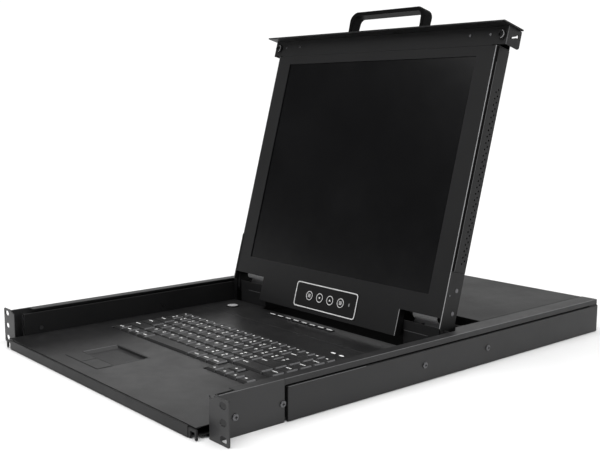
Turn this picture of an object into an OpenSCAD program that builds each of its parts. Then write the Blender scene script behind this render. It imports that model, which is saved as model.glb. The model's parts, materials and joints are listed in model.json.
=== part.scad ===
// Rack-mounted console drawer with a fold-up display, keyboard, touchpad and
// built-in switch for several computers.
// X runs across the rack, the user stands at -Y, Z is up.
// The origin is the centre of the ear hole pattern, on the ears' front faces. Heights
// below are counted from the bottom of the unit, and in_frame() moves them to the origin.

/* [Rack frame] */
// Width across both rack ears
ear_span = 482.6; // [482:0.1:483]
// Distance between the left and right columns of ear holes
ear_hole_span = 465.1; // [464:0.1:466]
// Distance between neighbouring ear holes, up the ear
ear_hole_pitch = 15.875; // [15.8:0.005:15.9]
// Half the height of an ear slot
ear_hole_r = 3.3; // [3:0.1:3.6]
// Length of an ear slot, end to end
ear_slot_l = 10.6; // [9:0.1:11]
// Height of the fixed rails
frame_h = 43.6; // [43:0.1:44]
// Depth of the fixed rails behind the rack mounting plane
frame_l = 625; // [600:1:650]
// Width over the side walls of the rails
frame_w = 440; // [438:1:442]

/* [Drawer] */
// Width between the outer faces of the drawer's side panels
drawer_w = 412.4; // [410:0.1:412.4]
// Height of the keyboard deck's upper face
deck_z = 12; // [11.5:0.5:12.5]
// Overhang of the drawer's front lip in front of the ears
lip_out = 13; // [10:1:13]
// Top of the drawer's side panels
side_top = 39.4; // [36:0.2:40]

/* [Display] */
// Lean of the raised display behind the vertical
lcd_lean = 15.27; // [5:0.01:20]
// Height of the hinge pivot
pivot_z = 33.75; // [33:0.25:34]
// Distance of the hinge pivot behind the rack mounting plane
pivot_y = 351.1; // [350.6:0.1:352]
// Half width of the display body
lcd_half_w = 196.5; // [196:0.1:196.5]
// Thickness of the display body
lcd_t = 26; // [25.5:0.1:26]
// Half width of the visible screen
screen_half_w = 170; // [168:0.5:171]
// Height of the visible screen
screen_h = 287; // [280:1:290]

/* [Keyboard] */
// Width of one key place
key_u = 19.05; // [18.8:0.05:19.05]
// Depth of one key row
row_d = 20; // [19:0.25:20]
// Left edge of the key field
keys_x = -172; // [-174:0.5:-170]
// Front edge of the space bar's row
keys_y = 118; // [117:0.5:119]
// Top of the key caps
key_top = 14.2; // [13.8:0.1:14.4]

/* [Handle] */
// Length of the handle along the front plate
handle_l = 135; // [120:1:140]
// Reach of the handle in front of the plate
handle_out = 35; // [30:1:36]
// Width of the handle's flat bar
handle_bar_w = 16; // [14:1:16]
// Thickness of the handle's flat bar
handle_bar_t = 5.5; // [5:0.5:6]

/* [Hidden] */

$fn = 48;
bite = 0.5;             // how far a cutter runs past the face it cuts
sheet = 1.2;            // thickness of the folded sheet metal
ear_t = 1.6;            // thickness of the rack ears
ear_corner_r = 2;       // rounding of the ears' outer corners
wall_x = frame_w / 2;   // outer face of the rails' side walls
flange_t = 1.5;         // thickness of the ear bracket's side flange
flange_l = 81.5;        // length of the ear bracket's side flange
rail_y = 12;            // front end of the side walls
cover_y = 84.5;         // front end of the raised rail covers
cover_top = 35.6;       // top of the raised rail covers
hem_bottom = 37;        // lower edge of the rails' outer hem
top_flange_y = 340;     // front end of the rails' wide upper flanges, cut off at an angle
top_flange_x = 198.5;   // inner edge of the rails' wide upper flanges
lip_flange_x = 208.5;   // inner edge of the narrow flange in front of them
ear_inner = 211;        // inner edge of the rack ears
ear_hole_z = 21.8;      // height of the middle ear hole
screw_hole_r = 2.1;
screw_r = 2;
screw_z = 19;
slide_x = drawer_w / 2; // outer face of the side panels, where the slides begin

floor_z = 3;            // underside of the drawer's floor
floor_t = 1;
inner_x = slide_x - sheet;
drawer_end = 623;       // back of the drawer's rear panel
lip_half_w = 195;
lip_t = 9.5;
seam_y = 282;           // joint between the keyboard deck and the control panel
control_end = 336;      // rear edge of the control panel, where the hinge well starts
well_z = 6.5;           // floor of the hinge well
bulkhead_y = 408;       // front of the rear compartment
well_half_w = 132.6;
housing_x = [133.4, 189.5];
housing_y = [343, 389];
drum_x = [150, 189.5];  // the part of the housing that carries the hinge shaft
barrel_r = 9;           // rounded cover tube behind the shaft
barrel_y = 369;
wall_top = 43.4;        // top of the wall in front of the hinges

unit_front = -18.25;    // display face, from the pivot along the display's own depth
unit_back = unit_front + lcd_t;
panel_bottom = 19.1;    // lower edge of the display body above the pivot
panel_top = 343.1;
chin_bottom = -13.9;
chin_half_w = 131;
bezel_d = 6;            // depth of the front bezel
bezel_t = 1.5;
screen_bottom = 43.9;
plate_z = 365.6;        // inner face of the front plate
plate_t = 2;
plate_half_w = 213;
plate_y = [-33.25, 4.75];
bracket_half_w = 209.5;
shaft_r = 4;
arm_x = [192, 197];     // hinge arms, flush plates outside and a thicker core inside
arm_plate_x = 195.3;    // inner face of the arms' outer plate
arm_top = 75;
arm_depth = [-19, 7.25];
osd_x = [-29, -9, 11, 31];
osd_z = 8.9;
osd_r = 6.6;
cable_x = [148, 160];   // ribbon cable from the left hinge to the rear compartment
pad_x = [-92, -16];     // touchpad recess
pad_y = [31, 79];
pad_button_y = [9.5, 29.5];
port_pitch = 16.5;
port_x = -90.5;
port_y = 322;
console_button_at = [-168.5, 311];

// ---------------------------------------------------------------- helpers

// A box given by its lowest and highest corners.
module span(x, y, z) {
    translate([x[0], y[0], z[0]]) cube([x[1] - x[0], y[1] - y[0], z[1] - z[0]]);
}

// Draws its children on the right (side = 1) or mirrored on the left (side = -1).
module on_side(side) {
    mirror([side > 0 ? 0 : 1, 0, 0]) children();
}

// Moves a piece drawn above the unit's bottom into the part's own frame.
module in_frame() {
    translate([0, 0, -ear_hole_z]) children();
}

module both_sides() {
    children();
    mirror([1, 0, 0]) children();
}

// A round rod or hole along X.
module rod_x(r, x, y, z) {
    translate([x[0], y, z]) rotate([0, 90, 0]) cylinder(r = r, h = x[1] - x[0]);
}

// A round rod or hole along Y.
module rod_y(r, x, y, z) {
    translate([x, y[0], z]) rotate([-90, 0, 0]) cylinder(r = r, h = y[1] - y[0]);
}

// Places its children on the raised display: their origin is the hinge pivot,
// +Z runs up the display and +Y into its back.
module on_display() {
    translate([0, pivot_y, pivot_z]) rotate([-lcd_lean, 0, 0]) children();
}

// ---------------------------------------------------------------- fixed rails

module base_pan() {
    in_frame() color("dimgray") difference() {
        span([-wall_x, wall_x], [ear_t, frame_l - 1], [0, sheet]);
        for (x = [-120, 0, 120]) span([x - 45, x + 45], [430, 560], [-bite, sheet + bite]);
    }
}

module outer_rail(side) {
    in_frame() color("#232426") on_side(side) difference() {
        union() {
            span([wall_x - sheet, wall_x], [rail_y, frame_l], [sheet, frame_h]);
            span([205, wall_x], [rail_y, frame_l], [sheet, 2 * sheet]);
            span([wall_x - bite, wall_x + flange_t], [flange_l, frame_l], [hem_bottom, frame_h]);
            span([lip_flange_x, wall_x], [24.7, top_flange_y + 30], [frame_h - sheet, frame_h]);
            translate([0, 0, frame_h - sheet]) linear_extrude(sheet) polygon([[top_flange_x, frame_l],
                [top_flange_x, top_flange_y + 21], [wall_x - 4, top_flange_y], [wall_x, top_flange_y],
                [wall_x, frame_l]]);
        }
        for (y = [22, 79, 281, 391]) rod_x(screw_hole_r, [wall_x - 5, wall_x + 5], y, screw_z);
    }
}

// Hole centres up an ear.
function ear_hole_heights() = [for (i = [-1:1]) ear_hole_z + i * ear_hole_pitch];

// An ear plate with rounded outer corners, standing in XZ.
module ear_plate() {
    edge = ear_span / 2;
    span([ear_inner, edge - ear_corner_r], [0, ear_t], [0, frame_h]);
    span([ear_inner, edge], [0, ear_t], [ear_corner_r, frame_h - ear_corner_r]);
    for (z = [ear_corner_r, frame_h - ear_corner_r]) rod_y(ear_corner_r, edge - ear_corner_r, [0, ear_t], z);
}

// A slot through an ear, long side across the rack.
module ear_slot(z) {
    reach = ear_slot_l / 2 - ear_hole_r;
    mid = ear_hole_span / 2;
    span([mid - reach, mid + reach], [-bite, ear_t + bite], [z - ear_hole_r, z + ear_hole_r]);
    for (s = [-1, 1]) rod_y(ear_hole_r, mid + s * reach, [-bite, ear_t + bite], z);
}

module ear_bracket(side) {
    in_frame() color("#202123") on_side(side) difference() {
        union() {
            ear_plate();
            span([wall_x, wall_x + flange_t], [0, flange_l], [0, frame_h]);
        }
        for (z = ear_hole_heights()) ear_slot(z);
        rod_y(4.2, 214.8, [-bite, ear_t + bite], frame_h);
        for (y = [22, 79]) rod_x(screw_hole_r, [wall_x - bite, wall_x + 5], y, screw_z);
    }
}

module rail_cover(side) {
    in_frame() color("#262729") on_side(side) difference() {
        union() {
            span([wall_x, wall_x + 3], [cover_y, frame_l], [0.5, cover_top]);
            span([wall_x, wall_x + flange_t], [608, frame_l], [cover_top, hem_bottom]);
        }
        for (y = [281, 391]) rod_x(screw_hole_r, [wall_x - bite, wall_x + 5], y, screw_z);
    }
}

// A pan-head screw lying along X, its head seated at x.
module side_screw(x, y) {
    rod_x(3.6, [x, x + 1.1], y, screw_z);
    rod_x(2.8, [x + 1.1, x + 1.7], y, screw_z);
    rod_x(screw_r, [wall_x - sheet, x], y, screw_z);
}

module rail_screws() {
    in_frame() color("silver") both_sides() {
        for (y = [22, 79]) side_screw(wall_x + flange_t, y);
        for (y = [281, 391]) side_screw(wall_x + 3, y);
    }
}

// A C-shaped slide member: web between x, lips reaching in to lip_x.
module slide_member(web, lip_x, y, z) {
    span(web, y, z);
    span([min(web[0], lip_x), max(web[1], lip_x)], y, [z[1] - sheet, z[1]]);
    span([min(web[0], lip_x), max(web[1], lip_x)], y, [z[0], z[0] + sheet]);
}

module slide_outer(side) {
    in_frame() color("gray") on_side(side)
        slide_member([wall_x - 2 * sheet, wall_x - sheet], 207.2, [14, 610], [5, 35]);
}

module slide_middle(side) {
    in_frame() color("darkgray") on_side(side) slide_member([209.3, 210.4], 206.8, [20, 560], [8.4, 31.6]);
}

module slide_inner(side) {
    in_frame() color("gray") on_side(side)
        slide_member([slide_x, slide_x + 1], 208.6, [14, 600], [12, 28]);
}

// ---------------------------------------------------------------- drawer

module drawer_tray() {
    front = -lip_out;
    back = front + lip_t;
    in_frame() color("#222325") {
        span([-slide_x, slide_x], [back - bite, drawer_end], [floor_z, floor_z + floor_t]);
        difference() {
            union() {
                span([-lip_half_w, lip_half_w], [front, back], [0.3, deck_z - 1.4]);
                span([-lip_half_w, lip_half_w], [front, front + 1.8], [0.3, deck_z - 0.2]);
            }
            span([-lip_half_w - bite, lip_half_w + bite], [front + 1.5, back - 1.5], [-bite, deck_z - 3]);
        }
        both_sides() difference() {
            span([lip_half_w - bite, 208], [front + 0.6, front + 3], [0.8, deck_z - 1.4]);
            span([lip_half_w + 3, 205.5], [front, front + 4], [0, deck_z - 4.4]);
        }
    }
}

module side_panel(side) {
    in_frame() color("#242527") on_side(side) {
        span([inner_x, slide_x], [11, drawer_end - sheet], [floor_z + floor_t, side_top]);
        span([slide_x, slide_x + 3], [11, 11 + sheet], [deck_z, side_top]);
    }
}

module deck_sheet(outline) {
    translate([0, 0, deck_z - sheet]) linear_extrude(sheet) polygon(outline);
}

function key_field_right() = keys_x + 16 * key_u;
function key_row_y(row) = keys_y + row * row_d;
function arrow_x() = keys_x + 12 * key_u;
arrow_y = 103;

module keyboard_deck() {
    reach = inner_x - 0.2;
    gap = 1;
    in_frame() color("#27282a") difference() {
        deck_sheet([[-reach, -10.2], [reach, -10.2], [reach, seam_y - 0.3], [-reach, seam_y - 0.3]]);
        span([keys_x - gap, key_field_right() + gap], [key_row_y(1) - gap, key_row_y(5) + 16 + gap], [0, 20]);
        span([keys_x - gap, arrow_x() + gap], [keys_y - gap, key_row_y(1)], [0, 20]);
        span([arrow_x() - gap, key_field_right() + gap], [arrow_y - gap, arrow_y + 16 + gap], [0, 20]);
        span([arrow_x() + key_u - gap, arrow_x() + 2 * key_u + gap], [arrow_y + 16, arrow_y + 32 + gap],
            [0, 20]);
        span(pad_x, pad_y, [0, 20]);
        span([pad_x[0], pad_x[1]], pad_button_y, [0, 20]);
    }
}

// The strip behind the keys, and the well that the display's chin swings in.
module control_panel() {
    reach = inner_x - 0.2;
    back = housing_y[0] - 0.5;
    in_frame() color("#242527") difference() {
        union() {
            deck_sheet([[-reach, seam_y], [reach, seam_y], [reach, back], [well_half_w, back],
                [well_half_w, control_end], [-well_half_w, control_end], [-well_half_w, back],
                [-reach, back]]);
            span([-well_half_w, well_half_w], [control_end - sheet, control_end],
                [well_z - sheet, deck_z - bite]);
            span([-well_half_w, well_half_w], [control_end - sheet, bulkhead_y - 1],
                [well_z - sheet, well_z]);
            both_sides() span([198.4, reach], [back - sheet, back], [deck_z - bite, wall_top]);
            span([-197, 197], [housing_y[1] + 0.5, bulkhead_y - 1], [well_z - sheet, well_z]);
        }
        for (i = [0:7]) translate([port_x + i * port_pitch, port_y, 0]) span([-6.8, 6.8], [-4, 4], [0, 20]);
        translate([console_button_at[0], console_button_at[1], 0]) cylinder(r = 9.4, h = 20);
    }
}

module keyboard_base() {
    in_frame() color("dimgray") {
        span([keys_x - 4, key_field_right() + 4], [arrow_y - 3, key_row_y(5) + 20], [6, 7]);
        span([keys_x, key_field_right()], [arrow_y, key_row_y(5) + 16], [floor_z + floor_t, 6]);
    }
}

module touchpad() {
    in_frame() color("#1c1d1f") {
        difference() {
            span([pad_x[0] + 0.15, pad_x[1] - 0.15], [pad_y[0] + 0.15, pad_y[1] - 0.15], [7, deck_z]);
            translate([0, pad_y[1] - 2, 0]) rotate([90, 0, 0]) linear_extrude(pad_y[1] - pad_y[0] - 4)
                polygon([[pad_x[0] + 6, 8.8], [pad_x[1] - 3, 8.8], [pad_x[1] - 2, 13], [pad_x[0] + 0.5, 13]]);
        }
        span([pad_x[0] + 10, pad_x[1] - 8], [pad_y[0] + 6, pad_y[1] - 6], [floor_z + floor_t, 7]);
    }
}

// The pad's two buttons meet in the middle of the recess: part = 0 is the left one.
module touchpad_button(part) {
    half = (pad_x[1] - pad_x[0]) / 2;
    left = pad_x[0] + part * half;
    in_frame() color("#2a2b2d") {
        span([left + 0.3, left + half - 0.3], [pad_button_y[0] + 0.3, pad_button_y[1] - 0.3],
            [9.4, deck_z + 0.4]);
        span([left + half / 2 - 3, left + half / 2 + 3], [17, 23], [6, 9.4]);
    }
}

module port_buttons() {
    in_frame() color("#303134") for (i = [0:7]) translate([port_x + i * port_pitch, port_y, 0]) {
        span([-6.5, 6.5], [-3.7, 3.7], [9, deck_z + 1.2]);
        span([-2, 2], [-2, 2], [6.6, 9]);
    }
}

module console_button() {
    in_frame() color("gray") translate([console_button_at[0], console_button_at[1], 0]) {
        translate([0, 0, 8.8]) cylinder(r = 9, h = deck_z + 1.6 - 8.8);
        translate([0, 0, 6.4]) cylinder(r = 3, h = 2.4);
    }
}

// ---------------------------------------------------------------- keys

// A key cap w wide and d deep with its corner at the origin.
module key_cap(w, d) {
    gap = 0.7;
    step = 1.3;
    span([gap, w - gap], [gap, d - gap], [9.4, key_top - 1.4]);
    span([gap + step, w - gap - step], [gap + step, d - gap - 0.6], [key_top - 1.4, key_top]);
}

// The sum of the first n entries of a list.
function run(list, n) = n <= 0 ? 0 : list[n - 1] + run(list, n - 1);

// A row of caps whose widths are given in key places, starting at x.
module key_row(x, y, d, widths, first, last) {
    for (i = [first:last]) translate([x + run(widths, i) * key_u, y, 0]) key_cap(widths[i] * key_u, d);
}

function plain_keys(n) = [for (i = [1:n]) 1];
function number_row() = concat(plain_keys(13), [2, 1]);
function upper_row() = concat([1.5], plain_keys(12), [1.5, 1]);
function home_row() = concat([1.75], plain_keys(11), [2.25, 1]);
function lower_row() = concat([2.25], plain_keys(10), [2.75, 1]);
function bottom_row() = concat(plain_keys(4), [5], plain_keys(3));

module function_keys() {
    in_frame() color("#1b1c1e") for (i = [0:17])
        translate([keys_x + i * 16 * key_u / 18, key_row_y(5), 0]) key_cap(16 * key_u / 18, 16);
}

module number_keys() {
    in_frame() color("#1b1c1e") key_row(keys_x, key_row_y(4), row_d, number_row(), 0, 13);
}

module upper_letter_keys() {
    in_frame() color("#1b1c1e") key_row(keys_x, key_row_y(3), row_d, upper_row(), 0, 13);
}

module home_letter_keys() {
    in_frame() color("#1b1c1e") key_row(keys_x, key_row_y(2), row_d, home_row(), 0, 12);
}

module lower_letter_keys() {
    in_frame() color("#1b1c1e") key_row(keys_x, key_row_y(1), row_d, lower_row(), 0, 11);
}

module modifier_keys() {
    in_frame() color("#1b1c1e") {
        key_row(keys_x, keys_y, row_d, bottom_row(), 0, 3);
        key_row(keys_x, keys_y, row_d, bottom_row(), 5, 7);
    }
}

module space_bar() {
    in_frame() color("#1b1c1e") key_row(keys_x, keys_y, row_d, bottom_row(), 4, 4);
}

module arrow_keys() {
    in_frame() color("#1b1c1e") {
        for (i = [0:2]) translate([arrow_x() + i * key_u, arrow_y, 0]) key_cap(key_u, 16);
        translate([arrow_x() + key_u, arrow_y + 16, 0]) key_cap(key_u, 16);
    }
}

module navigation_keys() {
    in_frame() color("#1b1c1e") {
        for (row = [1:4]) translate([keys_x + 15 * key_u, key_row_y(row), 0]) key_cap(key_u, row_d);
        translate([arrow_x() + 3 * key_u, arrow_y, 0]) key_cap(key_u, 16);
    }
}

// ---------------------------------------------------------------- hinges and rear compartment

// A wall in front, a box that carries the shaft, and a round tube behind it.
module hinge_housing(side) {
    tube_z = frame_h - barrel_r;
    end_x = [drum_x[1] - sheet, drum_x[1]];
    in_frame() color("#2c2d30") on_side(side) difference() {
        union() {
            span(housing_x, [housing_y[0], housing_y[0] + sheet], [floor_z + floor_t, wall_top]);
            span(housing_x, [housing_y[1] - sheet, housing_y[1]], [floor_z + floor_t, 38]);
            span([housing_x[0], housing_x[0] + sheet], housing_y, [floor_z + floor_t, 38]);
            span(end_x, housing_y, [floor_z + floor_t, 40]);
            span([drum_x[0], drum_x[0] + sheet], housing_y, [23, 40]);
            rod_x(barrel_r, housing_x, barrel_y, tube_z);
        }
        rod_x(barrel_r - sheet, [housing_x[0] + sheet, end_x[0]], barrel_y, tube_z);
        span([cable_x[0] - 1, cable_x[1] + 1], [housing_y[1] - 2, housing_y[1] + bite], [floor_z, 6]);
        rod_x(shaft_r + 0.1, [drum_x[0] - bite, drum_x[1] + bite], pivot_y, pivot_z);
    }
}

module hex_nut(x) {
    translate([x, pivot_y, pivot_z]) rotate([0, 90, 0]) cylinder(r = 6, h = 2.6, $fn = 6);
}

module hinge_shafts() {
    in_frame() color("gray") both_sides() {
        rod_x(shaft_r, [drum_x[0] - 3, arm_x[1] + 3.4], pivot_y, pivot_z);
        rod_x(6.5, [drum_x[0] + 2, drum_x[1] - 4], pivot_y, pivot_z);
        hex_nut(arm_x[1] + 0.4);
        hex_nut(drum_x[0] - 2.8);
    }
}

module rear_cover() {
    half_w = top_flange_x - 0.7;
    in_frame() color("#2a2b2e") difference() {
        union() {
            span([-half_w, half_w], [bulkhead_y, drawer_end], [frame_h - sheet, frame_h]);
            span([-half_w, half_w], [bulkhead_y, bulkhead_y + sheet], [floor_z + floor_t, frame_h - bite]);
            both_sides() span([half_w - sheet, half_w], [bulkhead_y, drawer_end - 2 * sheet],
                [34, frame_h - bite]);
        }
        span([-cable_x[1] - 1, -cable_x[0] + 1], [bulkhead_y - bite, bulkhead_y + 2], [floor_z, 6]);
    }
}

// Centres of the rear sockets, from the user's left to right.
function socket_x() = [for (i = [0:8]) -105 + i * 33];
socket_z = 22;
inlet_x = [-197, -149];
switch_x = [-146, -126];
usb_x = 190;

function switch_mid() = (switch_x[0] + switch_x[1]) / 2;

// Outline of a D-shaped socket shell.
module d_outline(w, h) {
    polygon([[-w / 2, h / 2], [w / 2, h / 2], [w / 2 - h / 6, -h / 2], [-w / 2 + h / 6, -h / 2]]);
}

module rear_panel() {
    in_frame() color("#232426") difference() {
        span([-inner_x + 0.2, inner_x - 0.2], [drawer_end - sheet, drawer_end],
            [floor_z + floor_t, frame_h - 1.6]);
        for (x = socket_x()) {
            translate([x, drawer_end + bite, socket_z]) rotate([90, 0,
                0]) linear_extrude(3) d_outline(17.6, 8.8);
            for (s = [-1, 1]) rod_y(1.6, x + s * 12.5, [drawer_end - 3, drawer_end + bite], socket_z);
        }
        span([inlet_x[0] + 9, inlet_x[1] - 9], [drawer_end - 3, drawer_end + 1], [10, 34]);
        span([switch_x[0] + 3, switch_x[1] - 3], [drawer_end - 3, drawer_end + 1],
            [socket_z - 10, socket_z + 10]);
        for (z = [13, 25]) span([usb_x - 7, usb_x + 7], [drawer_end - 3, drawer_end + 1], [z, z + 7]);
    }
}

// A D-shaped socket with a filled face and its two screw posts.
module d_socket(x) {
    translate([x, drawer_end + 5.5, socket_z]) rotate([90, 0, 0]) difference() {
        linear_extrude(16) d_outline(17, 8.2);
        translate([0, 0, -bite]) linear_extrude(bite + 0.8) d_outline(15.8, 7);
    }
    for (s = [-1, 1]) {
        rod_y(1.5, x + s * 12.5, [drawer_end - 6, drawer_end], socket_z);
        translate([x + s * 12.5, drawer_end, socket_z]) rotate([-90, 0, 0]) difference() {
            cylinder(r = 2.75, h = 4.6, $fn = 6);
            translate([0, 0, 1]) cylinder(r = 1.2, h = 5, $fn = 24);
        }
    }
}

// A flat socket for keyboard and mouse leads, with the tongue inside it.
module flat_socket(z) {
    difference() {
        span([usb_x - 6.6, usb_x + 6.6], [drawer_end - 14, drawer_end + 0.4], [z + 0.4, z + 6.6]);
        span([usb_x - 6, usb_x + 6], [drawer_end - 11, drawer_end + 1], [z + 1, z + 4.2]);
        span([usb_x - 6, usb_x + 6], [drawer_end - 1, drawer_end + 1], [z + 1, z + 6]);
    }
}

module rear_ports() {
    in_frame() color("silver") {
        for (x = socket_x()) d_socket(x);
        for (z = [13, 25]) flat_socket(z);
    }
}

module power_inlet() {
    mid = (inlet_x[0] + inlet_x[1]) / 2;
    in_frame() color("#18191a") {
        difference() {
            union() {
                span(inlet_x, [drawer_end, drawer_end + 2], [9, 35]);
                span([inlet_x[0] + 9.2, inlet_x[1] - 9.2], [drawer_end - 20, drawer_end + bite],
                    [10.2, 33.8]);
            }
            span([inlet_x[0] + 11.5, inlet_x[1] - 11.5], [drawer_end - 15, drawer_end + 3], [13.8, 30.2]);
        }
        difference() {
            span(switch_x, [drawer_end, drawer_end + 1.4], [socket_z - 12, socket_z + 12]);
            span([switch_mid() - 6.2, switch_mid() + 6.2], [drawer_end - 1, drawer_end + 2],
                [socket_z - 9.2, socket_z + 9.2]);
        }
    }
    in_frame() color("silver") for (x = [-7, 0, 7]) translate([mid + x, 0, 0])
        span([-1, 1], [drawer_end - 15.5, drawer_end - 3], [x == 0 ? 23 : 18.5, x == 0 ? 27 : 22.5]);
}

// The rocker turns on a pin along X, behind its dished face.
module power_switch() {
    in_frame() color("#151516") {
        translate([switch_mid() - 5.5, drawer_end - 3, socket_z]) rotate([90, 0, 90]) linear_extrude(11)
            polygon([[-3, -5], [3, -8], [6.5, -8], [4.6, 0], [6.5, 8], [3, 8], [-3, 5]]);
        rod_x(1.5, [switch_mid() - 6.6, switch_mid() + 6.6], drawer_end - 3, socket_z);
    }
}

module switch_board() {
    in_frame() color("darkgreen") {
        span([-100, 185], [470, 616], [10, 11.6]);
        for (x = [-90, 175], y = [480, 600]) translate([x, y, floor_z + floor_t]) cylinder(r = 3, h = 6);
    }
    in_frame() color("#202020") {
        for (i = [0:7]) translate([-105 + i * 33, 0, 0]) span([-7, 7], [575, 589], [11.6, 13.6]);
        span([20, 48], [505, 533], [11.6, 14.6]);
        span([80, 100], [505, 525], [11.6, 13.6]);
        span([-40, -10], [500, 512], [11.6, 17.6]);
    }
}

module power_supply() {
    in_frame() color("silver") difference() {
        span([-190, -112], [440, 585], [floor_z + floor_t, 37]);
        for (i = [0:9]) span([-180, -122], [455 + i * 12, 459 + i * 12], [35.5, 38]);
        span([-188.8, -113.2], [441.2, 583.8], [floor_z + floor_t + 1.2, 35.8]);
    }
}

// A flat ribbon from the board, under the hinge well, up into the left hinge housing.
module display_cable() {
    low = [floor_z + floor_t + 0.1, floor_z + floor_t + 1];
    bend = -cable_x[0] + 60;
    in_frame() color("dimgray") {
        span([-cable_x[1], -cable_x[0]], [352, 436], low);
        span([-cable_x[1], -cable_x[0]], [352, 352.9], [low[0], 22]);
        span([-cable_x[1], bend], [424, 436], low);
        span([bend - 12, bend], [424, 474], low);
        span([bend - 12, bend], [473.1, 474], [low[0], 10]);
    }
}

// ---------------------------------------------------------------- display

// The cut in the display's side that the arm's outer plate fills.
module arm_notch() {
    span([arm_plate_x - 0.1, lcd_half_w + bite], [arm_depth[0] - 0.2, unit_back + bite],
        [panel_bottom - bite, arm_top + 0.2]);
}

module lcd_bezel() {
    front = unit_front;
    back = unit_front + bezel_d;
    in_frame() color("#1d1e20") on_display() difference() {
        union() {
            span([-lcd_half_w, lcd_half_w], [front, back], [panel_bottom, panel_top]);
            span([-chin_half_w, chin_half_w], [front, back], [chin_bottom, panel_bottom + bite]);
        }
        span([-lcd_half_w + sheet, lcd_half_w - sheet], [front + bezel_t, back + bite],
            [panel_bottom + sheet, panel_top - sheet]);
        span([-chin_half_w + sheet, chin_half_w - sheet], [front + bezel_t, back + bite],
            [chin_bottom + sheet, panel_bottom + 2 * sheet]);
        span([-screen_half_w, screen_half_w], [front - bite, back],
            [screen_bottom, screen_bottom + screen_h]);
        for (x = osd_x) rod_y(osd_r + 0.3, x, [front - bite, back], osd_z);
        both_sides() arm_notch();
    }
}

module lcd_glass() {
    edge = 1.5;
    in_frame() color("#050506") on_display() span([-screen_half_w - edge, screen_half_w + edge],
        [unit_front + bezel_t, unit_front + bezel_t + 2],
            [screen_bottom - edge, screen_bottom + screen_h + edge]);
}

module lcd_module() {
    edge = 4;
    in_frame() color("silver") on_display() span([-screen_half_w - edge, screen_half_w + edge],
        [unit_front + bezel_t + 2, -4], [screen_bottom, screen_bottom + screen_h]);
}

module lcd_controller() {
    in_frame() color("darkgreen") on_display() {
        span([-70, 70], [-4, -2.4], [110, 210]);
        span([-15, 15], [-2.4, -0.4], [150, 180]);
        span([35, 60], [-2.4, 3], [120, 132]);
        span([-150, -110], [-4, -0.5], [90, 240]);
    }
}

// Two staggered columns of small round holes in the display's side wall.
module side_vents() {
    for (i = [0:27], k = [0, 1])
        rod_x(1.2, [lcd_half_w - 2 * sheet, lcd_half_w + bite], k * 4 - 2, 86 + i * 7.6 + k * 3.8);
}

// The back of the display, with a round stiffening bar under each lower corner.
module lcd_rear_cover() {
    front = unit_front + bezel_d;
    in_frame() color("#222325") on_display() difference() {
        union() {
            span([-lcd_half_w, lcd_half_w], [front, unit_back], [panel_bottom, panel_top]);
            span([-chin_half_w, chin_half_w], [front, front + 4], [chin_bottom, panel_bottom + bite]);
            both_sides() {
                rod_x(6, [143, 181], -1, panel_bottom - 0.2);
                rod_x(3.5, [137, 143 + bite], -1, panel_bottom - 0.2);
            }
        }
        span([-lcd_half_w + sheet, lcd_half_w - sheet], [front - bite, unit_back - sheet],
            [panel_bottom + sheet, panel_top - sheet]);
        span([-chin_half_w + sheet, chin_half_w - sheet], [front - bite, front + 4 - sheet],
            [chin_bottom + sheet, panel_bottom + 2 * sheet]);
        both_sides() {
            arm_notch();
            span([arm_x[0] - 0.3, arm_plate_x], [front - bite, unit_back - sheet],
                [panel_bottom - bite, panel_bottom + 2 * sheet]);
        }
        both_sides() side_vents();
        for (i = [0:17]) span([-80 + i * 9, -76 + i * 9], [unit_back - 2 * sheet, unit_back + bite],
            [250, 290]);
    }
}

module osd_panel() {
    in_frame() color("black") on_display() difference() {
        span([-58, 60.5], [unit_front - 0.6, unit_front], [-8.9, 25.9]);
        for (x = osd_x) rod_y(osd_r + 0.3, x, [unit_front - 1, unit_front + bite], osd_z);
    }
}

// A round button behind the display's membrane, number i from the left.
module osd_button(i) {
    in_frame() color("black") on_display() {
        rod_y(osd_r, osd_x[i], [unit_front - 0.8, unit_front + 2.4], osd_z);
        rod_y(2, osd_x[i], [unit_front + 2.4, unit_front + 4], osd_z);
    }
}

// The channel along the top edge that carries the front plate.
module top_bracket() {
    bottom = panel_top + 0.5;
    key_z = 357.6;
    in_frame() color("#1f2022") on_display() difference() {
        union() {
            span([-bracket_half_w, bracket_half_w], [unit_front, unit_front + sheet], [bottom, plate_z]);
            span([-bracket_half_w, bracket_half_w], [unit_front, 7.25], [plate_z - sheet, plate_z]);
            span([-lcd_half_w, lcd_half_w], [7.25 - sheet, 7.25], [panel_top, plate_z]);
            both_sides() {
                span([bracket_half_w - sheet, bracket_half_w], [unit_front, 3.25], [bottom, plate_z]);
                span([bracket_half_w - sheet, bracket_half_w], [unit_front, 7.25], [bottom + 4, plate_z]);
                rod_x(4, [bracket_half_w - sheet, bracket_half_w], 3.25, bottom + 4);
            }
            span([-lcd_half_w, lcd_half_w], [unit_front, 7.25], [panel_top, panel_top + sheet]);
        }
        both_sides() {
            rod_x(2, [bracket_half_w - 3, bracket_half_w + bite], 0.25, key_z);
            translate([bracket_half_w - 3, 0, 0]) rotate([90, 0, 90]) linear_extrude(4)
                polygon([[0.25, key_z - 1], [0.25, key_z + 0.8], [-12.5, 353.2], [-12.5, 351.6]]);
        }
    }
}

module front_plate() {
    in_frame() color("#1f2022") on_display() difference() {
        span([-plate_half_w, plate_half_w], plate_y, [plate_z, plate_z + plate_t]);
        for (x = [-1, 1]) translate([x * (handle_l - handle_bar_t) / 2, -3.5, plate_z - bite])
            cylinder(r = screw_hole_r, h = plate_t + 2 * bite);
    }
}

// Outline of the handle: a rounded arch, reach r_out at its outer corners.
module handle_outline(half, reach, r) {
    translate([-half, -r]) square([2 * half, reach]);
    translate([-half + r, 0]) square([2 * half - 2 * r, reach]);
    for (s = [-1, 1]) translate([s * (half - r), reach - r]) circle(r = r);
}

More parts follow.
